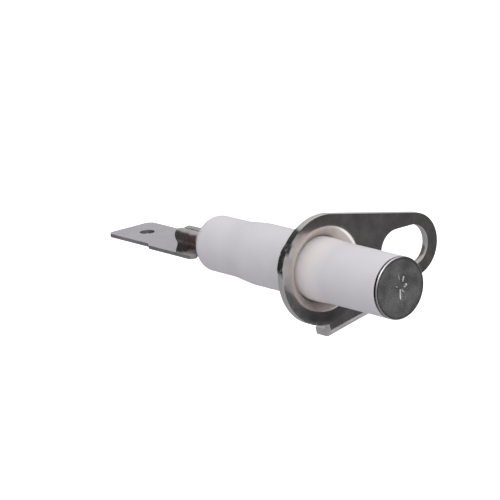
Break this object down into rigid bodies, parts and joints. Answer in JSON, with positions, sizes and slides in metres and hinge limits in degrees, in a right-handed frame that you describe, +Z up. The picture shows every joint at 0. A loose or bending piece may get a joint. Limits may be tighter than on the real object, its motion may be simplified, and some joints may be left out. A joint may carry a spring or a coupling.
{
  "type": "ignition electrode",
  "caption": "Ceramic-bodied gas ignition electrode with a round steel spark button, a slotted steel mounting bracket and a flat push-on spade terminal.",
  "frame": {"origin": "on the ceramic's axis, in the plane of the bracket's front face", "axes": "+X along the ceramic towards the spark button, +Y along the bracket's ear, +Z up, square to the terminal's flat"},
  "size_m": [0.0461, 0.0225, 0.0138],
  "materials": {
    "alumina": "white fired alumina, smooth satin with a faint cool tint",
    "bracket_steel": "bright rolled stainless sheet, slightly heat-tinted in the dish",
    "button_steel": "fine turned face with a broken, bright edge",
    "rod_alloy": "drawn heat-resistant wire",
    "terminal_steel": "plated steel strip, darkened brown at the crimp",
    "cement": "matte fired sealing cement"
  },
  "bodies": {
    "root": {"ceramic_insulator": "alumina", "mounting_bracket": "bracket_steel", "spark_button": "button_steel", "electrode_rod": "rod_alloy", "spade_terminal": "terminal_steel", "rear_cement_seal": "cement"}
  },
  "joints": []
}
